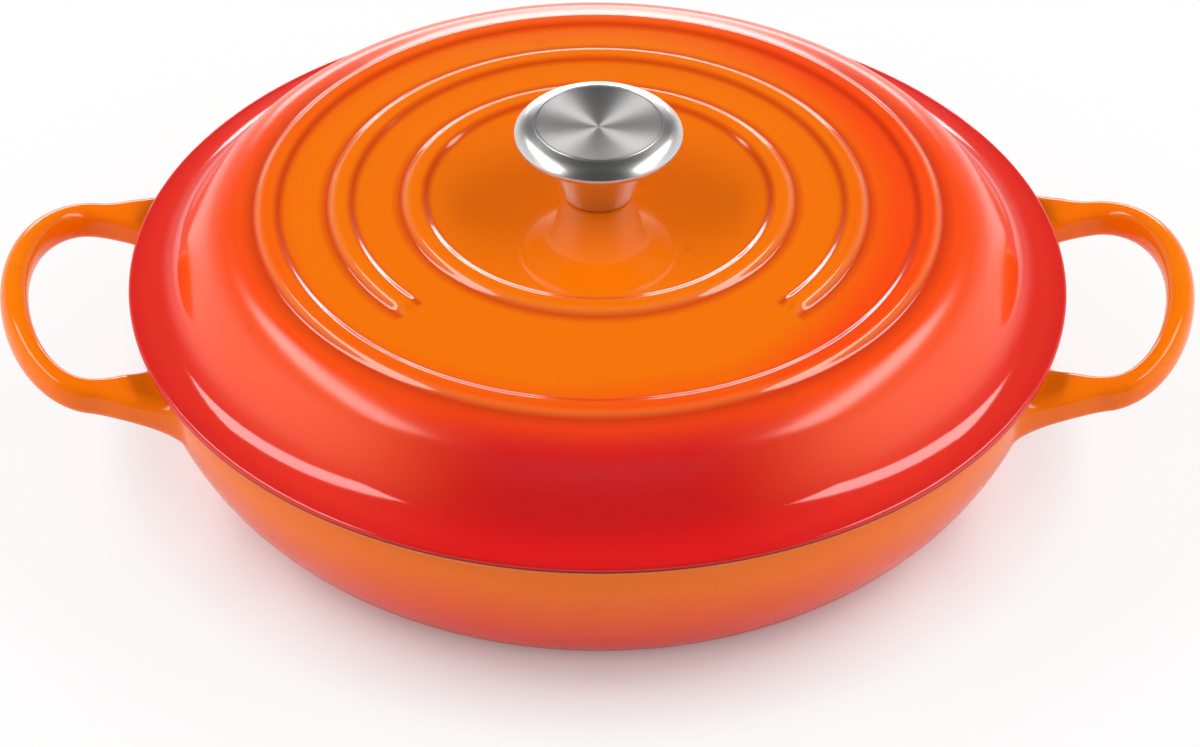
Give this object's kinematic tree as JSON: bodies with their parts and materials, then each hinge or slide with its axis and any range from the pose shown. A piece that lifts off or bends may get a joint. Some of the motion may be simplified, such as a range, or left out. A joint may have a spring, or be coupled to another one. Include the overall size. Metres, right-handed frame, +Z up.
{
  "type": "lidded casserole",
  "caption": "Shallow round enamelled cast-iron casserole with loop handles and a ringed, domed lid that lifts off by a steel knob, for slow cooking on a hob or in an oven.",
  "frame": {"origin": "centre of the foot, on the surface that the pot stands on", "axes": "+Z up along the lid's lift and the knob's screw; +X through the middle of one handle; -Y is the front, where the middle ring of the lid is broken"},
  "size_m": [0.3478, 0.273, 0.1138],
  "materials": {
    "pot_enamel": "glossy orange enamel that turns redder towards the foot",
    "lid_enamel": "glossy orange enamel that turns red towards the edge",
    "knob_steel": "turned and polished stainless steel",
    "fastener_steel": "plain stainless steel"
  },
  "bodies": {
    "pot": {"pot": "pot_enamel"},
    "lid_carrier": {"flat_washer": "fastener_steel"},
    "lid": {"lid": "lid_enamel", "knob_cap": "knob_steel", "knob_stem": "knob_steel", "knob_insert": "fastener_steel", "knob_screw": "fastener_steel", "lock_washer": "fastener_steel"}
  },
  "joints": [
    {"name": "lid_lift", "type": "slide", "parent": "pot", "child": "lid_carrier", "axis": [0, 0, 1], "range_m": [0, 0.15]},
    {"name": "lid_turn", "type": "hinge", "parent": "lid_carrier", "child": "lid", "pos_m": [0, 0, 0.0553], "axis": [0, 0, 1], "continuous": true}
  ]
}
